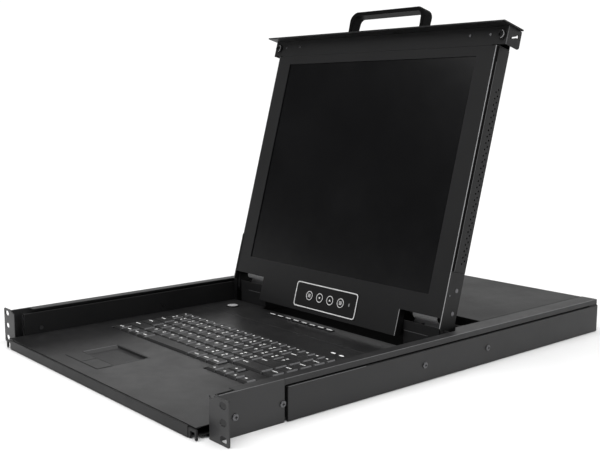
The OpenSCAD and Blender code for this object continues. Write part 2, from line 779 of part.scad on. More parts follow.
module pull_handle() {
    r_out = 13;
    half = handle_l / 2;
    in_frame() color("#161718") on_display() translate([0, -11.5, plate_z + plate_t]) difference() {
        translate([0, handle_bar_w, 0]) rotate([90, 0, 0]) linear_extrude(handle_bar_w) difference() {
            handle_outline(half, handle_out, r_out);
            handle_outline(half - handle_bar_t, handle_out - handle_bar_t, r_out - handle_bar_t);
        }
        span([-half - 1, half + 1], [-1, handle_bar_w + 1], [-30, 0]);
    }
}

// Each arm is screwed to the display's side and turns on its hinge shaft.
module hinge_arms() {
    core = [unit_front + bezel_d + 0.4, unit_back - sheet - 0.3];
    in_frame() color("#1a1b1c") on_display() both_sides() difference() {
        union() {
            span([arm_x[0], arm_plate_x + bite], core, [8, arm_top]);
            span([arm_plate_x, arm_x[1]], arm_depth, [7, arm_top]);
            rod_x(9, arm_x, 0, 0);
            translate([arm_x[0], 0, 0]) rotate([90, 0, 90]) linear_extrude(arm_x[1] - arm_x[0])
                polygon([[core[0], 8], [-7.8, -4.5], [7.8, -4.5], [core[1], 8]]);
        }
        rod_x(shaft_r + 0.05, [arm_x[0] - 1, arm_x[1] + 1], 0, 0);
    }
}

module bumpers() {
    in_frame() color("#101010") on_display() both_sides() difference() {
        rod_y(5.2, 201, [unit_front - 3, unit_front], 355.1);
        rod_y(2.4, 201, [unit_front - 3 - bite, unit_front - 1.5], 355.1);
    }
}

base_pan();
outer_rail(-1);  // left_outer_rail
outer_rail(1);  // right_outer_rail
ear_bracket(-1);  // left_ear_bracket
ear_bracket(1);  // right_ear_bracket
rail_cover(-1);  // left_rail_cover
rail_cover(1);  // right_rail_cover
slide_outer(-1);  // left_slide_outer
slide_outer(1);  // right_slide_outer
rail_screws();
slide_middle(-1);  // left_slide_middle
slide_middle(1);  // right_slide_middle
slide_inner(-1);  // left_slide_inner
slide_inner(1);  // right_slide_inner
drawer_tray();
side_panel(-1);  // left_side_panel
side_panel(1);  // right_side_panel
keyboard_deck();
control_panel();
keyboard_base();
touchpad();
hinge_housing(-1);  // left_hinge_housing
hinge_housing(1);  // right_hinge_housing
hinge_shafts();
rear_cover();
rear_panel();
rear_ports();
power_inlet();
switch_board();
power_supply();
display_cable();
function_keys();
number_keys();
upper_letter_keys();
home_letter_keys();
lower_letter_keys();
modifier_keys();
space_bar();
arrow_keys();
navigation_keys();
touchpad_button(0);  // touchpad_left_button
touchpad_button(1);  // touchpad_right_button
port_buttons();
console_button();
power_switch();
lcd_bezel();
lcd_glass();
lcd_module();
lcd_controller();
lcd_rear_cover();
osd_panel();
osd_button(0);  // osd_menu_button
osd_button(1);  // osd_down_button
osd_button(2);  // osd_up_button
osd_button(3);  // osd_power_button
top_bracket();
front_plate();
pull_handle();
hinge_arms();
bumpers();
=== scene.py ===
import math
import random

import bmesh
import bpy
from mathutils import Matrix, Vector
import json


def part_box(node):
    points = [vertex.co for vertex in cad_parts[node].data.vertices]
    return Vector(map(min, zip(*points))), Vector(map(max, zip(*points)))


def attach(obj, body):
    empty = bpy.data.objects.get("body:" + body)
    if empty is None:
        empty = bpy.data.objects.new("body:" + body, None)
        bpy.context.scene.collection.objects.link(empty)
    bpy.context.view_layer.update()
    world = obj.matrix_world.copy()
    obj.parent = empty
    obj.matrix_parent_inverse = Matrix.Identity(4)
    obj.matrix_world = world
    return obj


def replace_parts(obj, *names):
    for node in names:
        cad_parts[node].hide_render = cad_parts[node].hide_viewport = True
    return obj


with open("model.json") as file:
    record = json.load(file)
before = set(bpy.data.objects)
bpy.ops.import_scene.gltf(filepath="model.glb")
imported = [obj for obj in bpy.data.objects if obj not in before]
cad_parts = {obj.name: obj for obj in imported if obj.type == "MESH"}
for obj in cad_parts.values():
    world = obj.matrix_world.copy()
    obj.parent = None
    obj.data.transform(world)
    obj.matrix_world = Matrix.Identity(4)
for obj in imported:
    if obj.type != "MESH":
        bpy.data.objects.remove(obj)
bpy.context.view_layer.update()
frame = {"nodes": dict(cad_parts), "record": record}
record = frame["record"]
body_of = {n: b for b, ns in record["behaviour"]["bodies"].items() for n in ns}
slot_of = {s["node"]: s["material_slot"] for s in record["subparts"]}
joint = {j["name"]: j for j in record["behaviour"]["joints"]}

# ------------------------------------------------------------------ places and sizes

MM = 0.001
SIDES = (-1, 1)
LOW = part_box("base_pan")[0].z           # underside of the unit, in metres
LEAN = math.radians(15.27)              # lean of the raised display
PIVOT = Vector(joint["display_hinge"]["pos_m"])

# Both spaces are in millimetres. UNIT counts from the middle of the rack plane and the unit's underside;
# DISPLAY counts from the hinge, y into the display's back and z up the raised display.
UNIT = Matrix.Translation((0, 0, LOW)) @ Matrix.Scale(MM, 4)
DISPLAY = Matrix.Translation(PIVOT) @ Matrix.Rotation(-LEAN, 4, "X") @ Matrix.Scale(MM, 4)

DECK = 12.0                             # top of the keyboard deck
EAR_SIDE = 221.5                        # outer face of the rails and of the ear brackets' flanges
COVER_SIDE = 223.0                      # outer face of the raised rail covers
RAIL_TOP = 43.6                         # upper edge of the rails
SCREW_Z = 19.0                          # height of the rail screws
FACE = -18.25                           # front face of the display
LCD_SIDE = 196.5                        # side face of the display
ARM_SIDE = 197.0                        # side face of the hinge arms
ARM_TOP = 75.0                          # upper end of the hinge arms
LCD_TOP = 343.0                         # top of the display, where its bracket begins
CHIN_SIDE = 131.0                       # side face of the display's narrow lower part
KEY_W, ROW_D = 19.05, 20.0              # one key place
SHORT_D = 16                            # depth of the shorter keys
KEYS_X, KEYS_Y = -172.0, 118.0          # front left corner of the key field
ARROWS_X, ARROWS_Y = KEYS_X + 12 * KEY_W, 103
KEY_TOP = 14.2                          # rim of a key cap
PORTS_X, PORT_PITCH = -90.5, 16.5       # first port button and the step to the next
BUTTON_X, BUTTON_Z = (-29, -9, 11, 31), 8.9     # places of the display's four round buttons
BAR_Y, BAR_Z = -1, 18.9                 # middle of the round bars under the display's corners
TUBE_Y, TUBE_Z = 369, 34.6              # middle of the cover tubes behind the hinges

# ------------------------------------------------------------------ materials


def surface(name, color, rough=0.5, metal=0.0, grain=900, bump=0.12, spread=0.06, dust=0.0,
            tint=0.12, anisotropic=False, specular=0.5):
    """A procedural finish: fine grain in the bump, cloudy roughness and colour, dust on top faces."""
    mat = bpy.data.materials.new(name)
    mat.use_nodes = True
    tree = mat.node_tree
    new, link = tree.nodes.new, tree.links.new
    shader = tree.nodes["Principled BSDF"]
    where = new("ShaderNodeTexCoord").outputs["Object"]

    def noise(scale, detail, at=where):
        node = new("ShaderNodeTexNoise")
        node.inputs["Scale"].default_value = scale
        node.inputs["Detail"].default_value = detail
        link(at, node.inputs["Vector"])
        return node

    def ranged(source, low, high, start=0.3, end=0.7):
        node = new("ShaderNodeMapRange")
        for label, value in (("From Min", start), ("From Max", end), ("To Min", low), ("To Max", high)):
            node.inputs[label].default_value = value
        link(source, node.inputs["Value"])
        return node.outputs["Result"]

    def combine(operation, a, b):
        node = new("ShaderNodeMath")
        node.operation = operation
        link(a, node.inputs[0])
        link(b, node.inputs[1])
        return node.outputs[0]

    grain_at = where
    if anisotropic:
        stretch = new("ShaderNodeMapping")
        stretch.inputs["Scale"].default_value = (1, 0.03, 1)
        link(where, stretch.inputs["Vector"])
        grain_at = stretch.outputs["Vector"]
    fine = noise(grain, 2, grain_at)
    cloud = noise(9, 5)
    cloud.inputs["Roughness"].default_value = 0.6
    rub = noise(70, 4)

    link(combine("ADD", ranged(cloud.outputs["Fac"], rough - spread, rough + spread),
                 ranged(rub.outputs["Fac"], -spread / 3, spread / 3)), shader.inputs["Roughness"])
    shade = new("ShaderNodeMix")
    shade.data_type = "RGBA"
    shade.inputs["A"].default_value = (*[c * (1 - tint) for c in color], 1)
    shade.inputs["B"].default_value = (*[c * (1 + tint) for c in color], 1)
    link(ranged(cloud.outputs["Fac"], 0, 1), shade.inputs["Factor"])
    tone = shade.outputs["Result"]
    if dust:
        facing = new("ShaderNodeSeparateXYZ")
        link(new("ShaderNodeNewGeometry").outputs["Normal"], facing.inputs["Vector"])
        amount = combine("MULTIPLY", ranged(facing.outputs["Z"], 0, dust, 0.4, 1.0),
                         ranged(rub.outputs["Fac"], 0.2, 1.0, 0.35, 0.75))
        settle = new("ShaderNodeMix")
        settle.data_type = "RGBA"
        settle.inputs["B"].default_value = (0.32, 0.31, 0.29, 1)
        link(tone, settle.inputs["A"])
        link(amount, settle.inputs["Factor"])
        tone = settle.outputs["Result"]
    link(tone, shader.inputs["Base Color"])
    relief = new("ShaderNodeBump")
    relief.inputs["Strength"].default_value = bump
    relief.inputs["Distance"].default_value = 0.0004
    link(fine.outputs["Fac"], relief.inputs["Height"])
    link(relief.outputs["Normal"], shader.inputs["Normal"])
    shader.inputs["Metallic"].default_value = metal
    shader.inputs["Specular IOR Level"].default_value = specular
    return mat


def paint(name, grey, rough=0.42, grain=900, bump=0.22, dust=0.02, specular=0.45):
    """Semi-gloss black powder coat or plastic of one grey level."""
    return surface(name, (grey, grey, grey * 1.05), rough, grain=grain, bump=bump, dust=dust,
                   specular=specular)


MATS = {
    "rail_paint": paint("rail_paint", 0.012, 0.45, specular=0.38),
    "bracket_paint": paint("bracket_paint", 0.016),
    "cover_paint": paint("cover_paint", 0.010, 0.43, specular=0.38),
    "drawer_paint": paint("drawer_paint", 0.009, 0.5, specular=0.3),
    "deck_paint": paint("deck_paint", 0.009, 0.36, grain=1200, bump=0.2, dust=0.015, specular=0.36),
    "display_paint": paint("display_paint", 0.008, 0.48, bump=0.18, dust=0.0, specular=0.24),
    "zinc_steel": surface("zinc_steel", (0.50, 0.51, 0.52), 0.34, 1.0, grain=300, bump=0.1, anisotropic=True),
    "screw_steel": surface("screw_steel", (0.12, 0.12, 0.125), 0.3, 1.0, grain=600, bump=0.08),
    "keyboard_frame": paint("keyboard_frame", 0.006, 0.6, bump=0.1, dust=0.0, specular=0.2),
    "touchpad_plastic": paint("touchpad_plastic", 0.014, 0.46, grain=2000, bump=0.15),
    "button_plastic": paint("button_plastic", 0.012, 0.42, bump=0.1),
    "key_plastic": paint("key_plastic", 0.012, 0.46, grain=1600, bump=0.18, dust=0.03, specular=0.35),
    "inlet_plastic": paint("inlet_plastic", 0.012, 0.42, bump=0.1),
    "board_laminate": surface("board_laminate", (0.02, 0.11, 0.05), 0.35, grain=200, bump=0.15),
    "cable_jacket": surface("cable_jacket", (0.10, 0.10, 0.11), 0.55, bump=0.1),
    "screen_glass": surface("screen_glass", (0.0022, 0.0022, 0.0026), 0.2, grain=60, bump=0.004, spread=0.03,
                            specular=0.3),
    "display_module": surface("display_module", (0.40, 0.41, 0.42), 0.4, 0.6, bump=0.05),
    "membrane": paint("membrane", 0.006, 0.32, grain=500, bump=0.05, dust=0.0, specular=0.2),
    "bumper_rubber": paint("bumper_rubber", 0.010, 0.7, grain=700, bump=0.2, specular=0.2),
}
INK = surface("legend_ink", (0.95, 0.95, 0.95), 0.5, grain=1500, bump=0.08)
# Grey for the lamp window, and a painted highlight on the round console button.
GREY_INK_AND_HIGHLIGHT = surface("grey_ink_and_highlight", (0.30, 0.30, 0.305), 0.5, grain=1500, bump=0.08)
LINE_INK = surface("outline_ink", (0.80, 0.80, 0.80), 0.4, grain=1500, bump=0.05)
# Painted shade: a near-black material for thin sheets laid into gaps, seams, recesses and the hinge well,
# where shade falls.
GAP_SHADE = surface("painted_gap_shade", (0.003, 0.003, 0.003), 0.8, bump=0.05, specular=0.05)
# Painted highlight: light grey for edges, rims and pin ends that catch the light.
EDGE = surface("painted_edge_highlight", (0.30, 0.30, 0.305), 0.36, bump=0.12)
# Painted highlight, dimmer: grey for lit edges of the deck, display, rails and walls.
SOFT_HIGHLIGHT = surface("painted_soft_highlight", (0.10, 0.10, 0.103), 0.4, bump=0.12)
# Painted highlight: grey for the lit right slopes of the key caps.
CAP_HIGHLIGHT = surface("painted_cap_highlight", (0.17, 0.17, 0.175), 0.4, grain=1600, bump=0.1)
HANDLE = paint("handle_paint", 0.002, 0.55, bump=0.1, dust=0.0, specular=0.06)
# Painted highlight: light grey on the round bars under the display's corners.
HIGHLIGHT_GREY = surface("painted_bar_highlight", (0.50, 0.50, 0.505), 0.34, grain=400, bump=0.08)
# Painted highlight, dimmer: grey on the fixed cover tubes.
DIM_HIGHLIGHT_GREY = surface("painted_tube_highlight", (0.13, 0.13, 0.133), 0.4, grain=400, bump=0.08)

# ------------------------------------------------------------------ mesh helpers


def soften(bm, width, segments, angle, shortest):
    """Rounds the longer edges and marks the edges that stay sharp."""
    bm.normal_update()
    if width:
        edges = [e for e in bm.edges if len(e.link_faces) == 2 and e.calc_length() > shortest
                 and e.calc_face_angle(0) > math.radians(angle)]
        bmesh.ops.bevel(bm, geom=edges, offset=width * MM, offset_type="OFFSET", segments=segments,
                        profile=0.5, affect="EDGES", clamp_overlap=False)
        bm.normal_update()
    for face in bm.faces:
        face.smooth = True
    for e in bm.edges:
        e.smooth = len(e.link_faces) == 2 and e.calc_face_angle(0) < math.radians(45)


def add_piece(name, bm, body, material):
    """Turns a finished mesh into a piece that rides on a body."""
    mesh = bpy.data.meshes.new(name)
    bm.to_mesh(mesh)
    bm.free()
    obj = bpy.data.objects.new(name, mesh)
    bpy.context.scene.collection.objects.link(obj)
    mesh.materials.append(material)
    obj.modifiers.new("even normals", "WEIGHTED_NORMAL").keep_sharp = True
    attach(obj, body)
    return obj


class Shape:
    """Collects solids given in millimetres, in the unit's or the display's own space."""

    AXES = {"xy": (0, 1, 2), "xz": (0, 2, 1), "yz": (1, 2, 0)}

    def __init__(self, space=UNIT):
        self.bm = bmesh.new()
        self.space = space

    def row(self, outline, w, plane="xy"):
        """The corners of an outline in a plane, at w along the plane's normal."""
        corners = []
        for p in outline:
            place = [0, 0, 0]
            for axis, value in zip(self.AXES[plane], (*p, w)):
                place[axis] = value
            corners.append(self.bm.verts.new(place))
        return corners

    def skin(self, rows, ends=()):
        """Closed bands between neighbouring rows, with faces over the rows in ends."""
        faces = [self.bm.faces.new(row) for row in ends]
        for a, b in zip(rows, rows[1:]):
            for i in range(len(a)):
                j = (i + 1) % len(a)
                faces.append(self.bm.faces.new((a[i], a[j], b[j], b[i])))
        bmesh.ops.recalc_face_normals(self.bm, faces=faces)

    def prism(self, outline, low, high, plane="xy", top=None):
        """Extrudes an outline from low to high, to a second outline if there is one."""
        a, b = self.row(outline, low, plane), self.row(top or outline, high, plane)
        self.skin((a, b), (a, b))

    def box(self, x, y, z):
        self.prism([(x[0], y[0]), (x[1], y[0]), (x[1], y[1]), (x[0], y[1])], z[0], z[1])

    def rod(self, centre, r, low, high, plane="xy", steps=32, top_r=None):
        self.prism(circle(*centre, r, steps), low, high, plane, circle(*centre, top_r or r, steps))

    def ring(self, outer, inner, low, high, plane="xy"):
        """A flat frame between two outlines with the same number of points."""
        rows = [self.row(outer, low, plane), self.row(outer, high, plane),
                self.row(inner, high, plane), self.row(inner, low, plane)]
        self.skin((*rows, rows[0]))

    def make(self, name, body, slot, material=None, bevel=0.0, segments=2, replaces=(), angle=35):
        self.bm.transform(self.space)
        soften(self.bm, bevel, segments, angle, 0)
        obj = add_piece(name, self.bm, body, material or MATS[slot])
        if replaces:
            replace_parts(obj, *replaces)


def circle(cx, cy, r, steps=40):
    turn = [2 * math.pi * i / steps for i in range(steps)]
    return [(cx + r * math.cos(a), cy + r * math.sin(a)) for a in turn]


def rounded(x, y, r, steps=6):
    """Corner points of a rounded rectangle."""
    points = []
    for cx, cy, start in ((x[1] - r, y[1] - r, 0), (x[0] + r, y[1] - r, 90),
                          (x[0] + r, y[0] + r, 180), (x[1] - r, y[0] + r, 270)):
        for i in range(steps + 1):
            a = math.radians(start + 90 * i / steps)
            points.append((cx + r * math.cos(a), cy + r * math.sin(a)))
    return points


def arc_strip(cx, cy, outer, inner, angles):
    """Outline of a curved strip between two radii, over angles in degrees."""
    turn = [math.radians(a) for a in angles]
    strip = [(cx + outer * math.cos(a), cy + outer * math.sin(a)) for a in turn]
    return strip + [(cx + inner * math.cos(a), cy + inner * math.sin(a)) for a in reversed(turn)]


def across(s, a, b):
    """The span between a and b on side s, low end first."""
    return (min(s * a, s * b), max(s * a, s * b))


def screw_head(shape, u, v, face, r, plane, out=1):
    """A low pan head, standing out of the face by about half a millimetre."""
    shape.rod((u, v), r, face - 0.3 * out, face + 0.35 * out, plane, 28)
    shape.rod((u, v), r * 0.86, face + 0.35 * out, face + 0.62 * out, plane, 28, r * 0.6)


# ------------------------------------------------------------------ the CAD's own pieces

# Edge width and segments of each group of nodes that gets rounded edges.
SOFTENED = (
    (0.35, 2, ("left_outer_rail", "right_outer_rail", "left_side_panel", "right_side_panel",
               "left_hinge_housing", "right_hinge_housing", "rear_cover", "keyboard_deck", "control_panel",
               "rear_panel", "lcd_bezel", "lcd_rear_cover", "top_bracket", "hinge_arms", "front_plate",
               "left_ear_bracket", "right_ear_bracket")),
    (0.9, 3, ("left_rail_cover", "right_rail_cover")),
    (0.4, 2, ("drawer_tray",)),
    (1.6, 4, ("pull_handle",)),
    (0.8, 3, ("bumpers",)),
    (0.3, 2, ("touchpad",)),
    (0.4, 3, ("touchpad_left_button", "touchpad_right_button")),
    (0.5, 3, ("port_buttons",)),
    (0.7, 3, ("console_button",)),
    (0.6, 3, ("power_switch",)),
    (0.4, 2, ("power_inlet",)),
    (0.3, 2, ("hinge_shafts",)),
    (0.2, 2, ("osd_panel",)),
)


def material_of(node):
    return HANDLE if node == "pull_handle" else MATS[slot_of[node]]


def dress(node, width, segments):
    """Replaces a CAD node by a copy of itself with rounded edges."""
    bm = bmesh.new()
    bm.from_mesh(frame["nodes"][node].data)
    bmesh.ops.remove_doubles(bm, verts=bm.verts, dist=0.00002)
    bmesh.ops.dissolve_limit(bm, angle_limit=math.radians(0.5), verts=bm.verts, edges=bm.edges)
    soften(bm, width, segments, 35, 4 * MM)
    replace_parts(add_piece("soft_" + node, bm, body_of[node], material_of(node)), node)


def cad_pieces():
    for name, obj in frame["nodes"].items():
        obj.data.materials.clear()
        obj.data.materials.append(MATS[slot_of[name]])
    for width, segments, nodes in SOFTENED:
        for node in nodes:
            dress(node, width, segments)


# ------------------------------------------------------------------ keys

rng = random.Random(7)


def cap(shape, x, y, w, d):
    """A key cap with sloping sides and a slightly dished top."""
    g = 0.7
    foot = rounded((x + g, x + w - g), (y + g, y + d - g), 0.8, 2)
    rim = rounded((x + g + 1.5, x + w - g - 1.5), (y + g + 1.6, y + d - g - 0.8), 1.1, 2)
    dish = rounded((x + g + 2.3, x + w - g - 2.3), (y + g + 2.4, y + d - g - 1.6), 0.9, 2)
    rows = [shape.row(outline, z) for outline, z in
            ((foot, 9.4), (foot, 11.2), (rim, KEY_TOP - 0.15), (dish, KEY_TOP - 0.4))]
    shape.skin(rows, (rows[0], rows[3]))


def painted_cap_highlight(shape, x, y, w, d):
    """A painted highlight on the slope along a cap's right side, where light falls."""
    right = x + w - 1.0
    slope = [(right - 1.35, KEY_TOP - 0.15), (right - 0.85, KEY_TOP - 0.12), (right - 0.05, KEY_TOP - 1.6),
             (right - 0.5, KEY_TOP - 1.6)]
    shape.prism(slope, y + 2.9, y + d - 2.1, "xz")


def stroke(shape, x, y, w, d):
    shape.box((x, x + w), (y, y + d), (KEY_TOP - 0.55, KEY_TOP - 0.34))


def glyph(shape, x, y, w=3.1, h=4.0):
    """A plain mark of three strokes."""
    stroke(shape, x, y, 1.0, h)
    for level in rng.sample((0, 0.42, 0.76), 2):
        stroke(shape, x + 1.0, y + level * h, w - 1.0, 0.95)


def word(shape, x, y, length):
    """A line of short strokes."""
    step = 0.0
    while step < length:
        long = rng.choice((0.8, 1.2))
        stroke(shape, x + step, y, long, 2.0)
        step += long + 0.6


def legend(shape, x, y, w, d, kind):
    """Plain marks standing for the printing on a cap."""
    left, back = x + min(w, KEY_W) * 0.42, y + d - 8.6
    if kind == "letter":
        glyph(shape, left, back)
    elif kind == "double":
        glyph(shape, left, back + 1.2, 2.6, 3.0)
        glyph(shape, left, back - 4.8, 2.6, 3.2)
    elif kind == "word":
        word(shape, x + 4.4, back + 0.4, min(w * 0.5, 8.5))
    elif kind == "low word":
        word(shape, x + 5.0, y + d - 12.5, 7.5)
    elif kind == "short":
        stroke(shape, x + 5.6, y + d - 7.6, 0.8, 2.2)
        stroke(shape, x + 6.9, y + d - 7.6, 1.6, 2.2)
    elif kind == "arrow":
        shape.prism([(left, back - 1.0), (left + 3.6, back - 1.0), (left + 1.8, back + 1.8)],
                    KEY_TOP - 0.55, KEY_TOP - 0.34)


def key_set(node, keys):
    """The caps of one node, given as x, y, width, depth and kind of legend."""
    caps, marks, slope_highlights = Shape(), Shape(), Shape()
    for x, y, w, d, kind in keys:
        cap(caps, x, y, w, d)
        painted_cap_highlight(slope_highlights, x, y, w, d)
        if kind:
            legend(marks, x, y, w, d, kind)
    body = body_of[node]
    caps.make("caps_" + node, body, "key_plastic", bevel=0.25, replaces=(node,), angle=25)
    if marks.bm.verts:
        marks.make("marks_" + node, body, "key_plastic", INK)
    slope_highlights.make("rim_highlights_" + node, body, "key_plastic", CAP_HIGHLIGHT)


def key_line(row, widths, kind_of):
    """One row of keys, widths in key places and kinds of legend by position."""
    keys, x = [], KEYS_X
    for i, w in enumerate(widths):
        keys.append((x, KEYS_Y + row * ROW_D, w * KEY_W, ROW_D, kind_of(i)))
        x += w * KEY_W
    return keys


def letter_kind(i, last, letters):
    """Words at both ends of a row, letters up to a place in it and double marks after that."""
    if i in (0, last):
        return "word"
    return "double" if i > letters else "letter"


def all_keys():
    narrow = 16 * KEY_W / 18            # eighteen keys over the width of sixteen
    key_set("function_keys", [(KEYS_X + i * narrow, KEYS_Y + 5 * ROW_D, narrow, SHORT_D, "short")
                              for i in range(18)])
    key_set("number_keys", key_line(4, [1] * 13 + [2], lambda i: "word" if i == 13 else "double"))
    key_set("upper_letter_keys", key_line(3, [1.5] + [1] * 12 + [1.5],
                                          lambda i: "word" if i == 0 else "double" if i > 10 else "letter"))
    key_set("home_letter_keys", key_line(2, [1.75] + [1] * 11 + [2.25], lambda i: letter_kind(i, 12, 9)))
    key_set("lower_letter_keys", key_line(1, [2.25] + [1] * 10 + [2.75], lambda i: letter_kind(i, 11, 7)))
    bottom = key_line(0, [1, 1, 1, 1, 5, 1, 1, 1], lambda i: None if i == 4 else "low word")
    key_set("modifier_keys", bottom[:4] + bottom[5:])
    key_set("space_bar", bottom[4:5])
    key_set("arrow_keys", [(ARROWS_X + i * KEY_W, ARROWS_Y, KEY_W, SHORT_D, "arrow") for i in range(3)]
            + [(ARROWS_X + KEY_W, ARROWS_Y + SHORT_D, KEY_W, SHORT_D, "arrow")])
    right = KEYS_X + 15 * KEY_W
    key_set("navigation_keys", [(right, KEYS_Y + row * ROW_D, KEY_W, ROW_D, "word") for row in range(1, 5)]
            + [(ARROWS_X + 3 * KEY_W, ARROWS_Y, KEY_W, SHORT_D, "short")])


# ------------------------------------------------------------------ deck details


def port_marks():
    """A light dash on each of the eight port buttons."""
    dashes = Shape()
    for i in range(8):
        x = PORTS_X + PORT_PITCH * i
        dashes.prism(rounded((x - 5.2, x + 5.2), (321.2, 322.8), 0.6, 3), DECK + 1.1, DECK + 1.26)
    dashes.make("port_marks", "port_button_row", "button_plastic", INK)


def deck_edges():
    """Painted highlights on the edges of the key opening and the touchpad's recess, and painted shade in the
    lines where sheets meet.
    """
    lit, creases = Shape(), Shape()
    lit.box((KEYS_X - 1.7, KEYS_X - 1.0), (KEYS_Y - 1, KEYS_Y + 5 * ROW_D + 17), (DECK - 0.4, DECK + 0.07))
    lit.prism([(-91.6, 12.05), (-90.4, 12.05), (-86.6, 9.1), (-87.6, 9.1)], 32, 76.5, "xz")
    creases.box((-92.3, -15.7), (9.1, 9.7), (DECK - 0.05, DECK + 0.05))
    creases.box((-194.9, 194.9), (-11.2, -10.2), (DECK - 1.4, DECK - 1.25))
    lit.make("lit_deck_edges", "drawer", "deck_paint", SOFT_HIGHLIGHT)
    creases.make("deck_creases", "drawer", "deck_paint", GAP_SHADE)


def status_lamps():
    lamps = Shape()
    for x, y in ((105, 254), (120, 253)):
        lamps.prism(rounded((x - 3.4, x + 3.4), (y - 1.5, y + 1.5), 1.2, 4), DECK - 0.3, DECK + 0.2)
    lamps.make("status_lamps", "drawer", "button_plastic", INK)


def well_painted_shade():
    """Painted shade: black sheets over the floor and front wall of the well that the display's lower part
    swings in, where shadow falls.
    """
    painted_shade = Shape()
    painted_shade.box((-132.5, 132.5), (336.05, 407), (6.45, 6.6))
    painted_shade.box((-132.5, 132.5), (336.0, 336.15), (6.6, 11.4))
    painted_shade.make("well_painted_shade", "drawer", "deck_paint", GAP_SHADE)


def console_button_highlight():
    # Painted highlight: a light grey disc over the button's top, where light falls on it.
    disc = Shape()
    disc.rod((-168.5, 311), 7.4, DECK + 1.5, DECK + 1.68)
    disc.make("console_button_highlight", "round_console_button", "button_plastic", GREY_INK_AND_HIGHLIGHT)


# ------------------------------------------------------------------ display details


def button_symbol(shape, kind, x, front, back):
    """Three bars for the menu and power buttons, a triangle for down and up."""
    if kind == "down":
        shape.prism([(x - 1.9, 10.0), (x + 1.9, 10.0), (x, 7.2)], front, back, "xz")
    elif kind == "up":
        shape.prism([(x - 1.9, 7.8), (x + 1.9, 7.8), (x, 10.6)], front, back, "xz")
    else:
        for z in (BUTTON_Z + 1.7 * k for k in (-1, 0, 1)):
            shape.prism(rounded((x - 2.6, x + 2.6), (z - 0.4, z + 0.4), 0.3, 2), front, back, "xz")


def membrane():
    """The control membrane's light outline, its round buttons and the small lamp window."""
    outline = Shape(DISPLAY)
    outline.ring(rounded((-57.4, 59.9), (-8.3, 25.3), 4.2), rounded((-56.1, 58.6), (-7.0, 24.0), 3.2),
                 FACE - 0.72, FACE - 0.5, "xz")
    outline.make("membrane_outline", "display", "membrane", LINE_INK)
    for x, kind in zip(BUTTON_X, ("menu", "down", "up", "power")):
        node, body = f"osd_{kind}_button", f"display_{kind}_button"
        button = Shape(DISPLAY)
        button.rod((x, BUTTON_Z), 6.3, FACE - 0.95, FACE + 2.2, "xz")
        button.make("pad_" + node, body, "membrane", bevel=0.4, segments=3, replaces=(node,))
        marks = Shape(DISPLAY)
        front, back = FACE - 1.02, FACE - 0.8
        marks.ring(circle(x, BUTTON_Z, 6.1), circle(x, BUTTON_Z, 5.2), front, back, "xz")
        button_symbol(marks, kind, x, front, back)
        marks.make("marks_" + node, body, "membrane", LINE_INK)
    window = Shape(DISPLAY)
    window.prism(rounded((45.9, 47.7), (7.0, 11.0), 0.8, 4), FACE - 0.75, FACE - 0.4, "xz")
    window.make("status_window", "display", "membrane", GREY_INK_AND_HIGHLIGHT)


def display_screws():
    """Screws in the hinge arms' sides and in the bracket's face."""
    heads = Shape(DISPLAY)
    for z, y, r in ((54.1, -2.1, 2.6), (26.9, -1.4, 2.6), (47, -13, 1.2)):
        for s in SIDES:
            screw_head(heads, y, z, s * ARM_SIDE, r, "yz", s)
    for x in (155, 185):
        for s in SIDES:
            screw_head(heads, s * x, 356.2, FACE, 1.7, "xz", -1)
    heads.make("display_screws", "display", "display_paint", MATS["screw_steel"])


def display_edges():
    """Painted highlights on the front edges, dimmer painted highlights on the bracket and sides, and painted
    shade in the gaps between the sheets.
    """
    edges, soft, grooves = Shape(DISPLAY), Shape(DISPLAY), Shape(DISPLAY)
    strips = (
        (edges, (LCD_SIDE - 0.6, LCD_SIDE + 0.07), (FACE - 0.07, FACE + 0.55), (ARM_TOP + 0.3, LCD_TOP)),
        (edges, (ARM_SIDE - 0.6, ARM_SIDE + 0.07), (-19.07, -18.5), (7.2, ARM_TOP)),
        (soft, (208.9, 209.57), (FACE - 0.07, FACE + 0.5), (LCD_TOP + 0.8, 365.4)),
        (soft, (LCD_SIDE - 0.3, LCD_SIDE + 0.06), (-12.5, -12.0), (ARM_TOP + 0.6, 325)),
        (grooves, (LCD_SIDE - 0.2, LCD_SIDE + 0.03), (-17.6, -12.6), (ARM_TOP + 0.6, LCD_TOP - 0.2)),
        (grooves, (190, 208.9), (FACE - 0.03, FACE + 0.3), (LCD_TOP - 0.1, LCD_TOP + 0.9)),
    )
    for shape, x, y, z in strips:
        for s in SIDES:
            shape.box(across(s, *x), y, z)
    edges.box((CHIN_SIDE - 0.6, CHIN_SIDE + 0.07), (FACE - 0.07, FACE + 0.5), (-13.6, 18.9))
    edges.make("painted_edge_highlights", "display", "display_paint", EDGE)
    soft.make("painted_soft_highlights", "display", "display_paint", SOFT_HIGHLIGHT)
    grooves.make("side_grooves", "display", "display_paint", GAP_SHADE)


def corner_bars():
    """Painted highlight: light grey bands round the lower halves of the round bars, open at the top where the
    display stands on them.
    """
    wrap = arc_strip(BAR_Y, BAR_Z, 6.2, 5.9, range(150, 391, 10))
    wrap = [p for p in wrap if p[1] < BAR_Z + 0.15]
    highlight_bands = Shape(DISPLAY)
    for s in SIDES:
        highlight_bands.prism(wrap, s * 143.0, s * 181.0, "yz")
    highlight_bands.make("corner_bar_highlight_bands", "display", "display_paint", HIGHLIGHT_GREY)


def hinge_tubes():
    """Painted highlight, dimmer: grey bands over the top and front of the fixed cover tubes, where light
    falls.
    """
    wrap = arc_strip(TUBE_Y, TUBE_Z, 9.12, 8.9, range(80, 231, 10))
    highlight_bands = Shape()
    for s in SIDES:
        highlight_bands.prism(wrap, s * 134.0, s * 189.0, "yz")
    highlight_bands.make("hinge_tube_highlight_bands", "drawer", "drawer_paint", DIM_HIGHLIGHT_GREY)


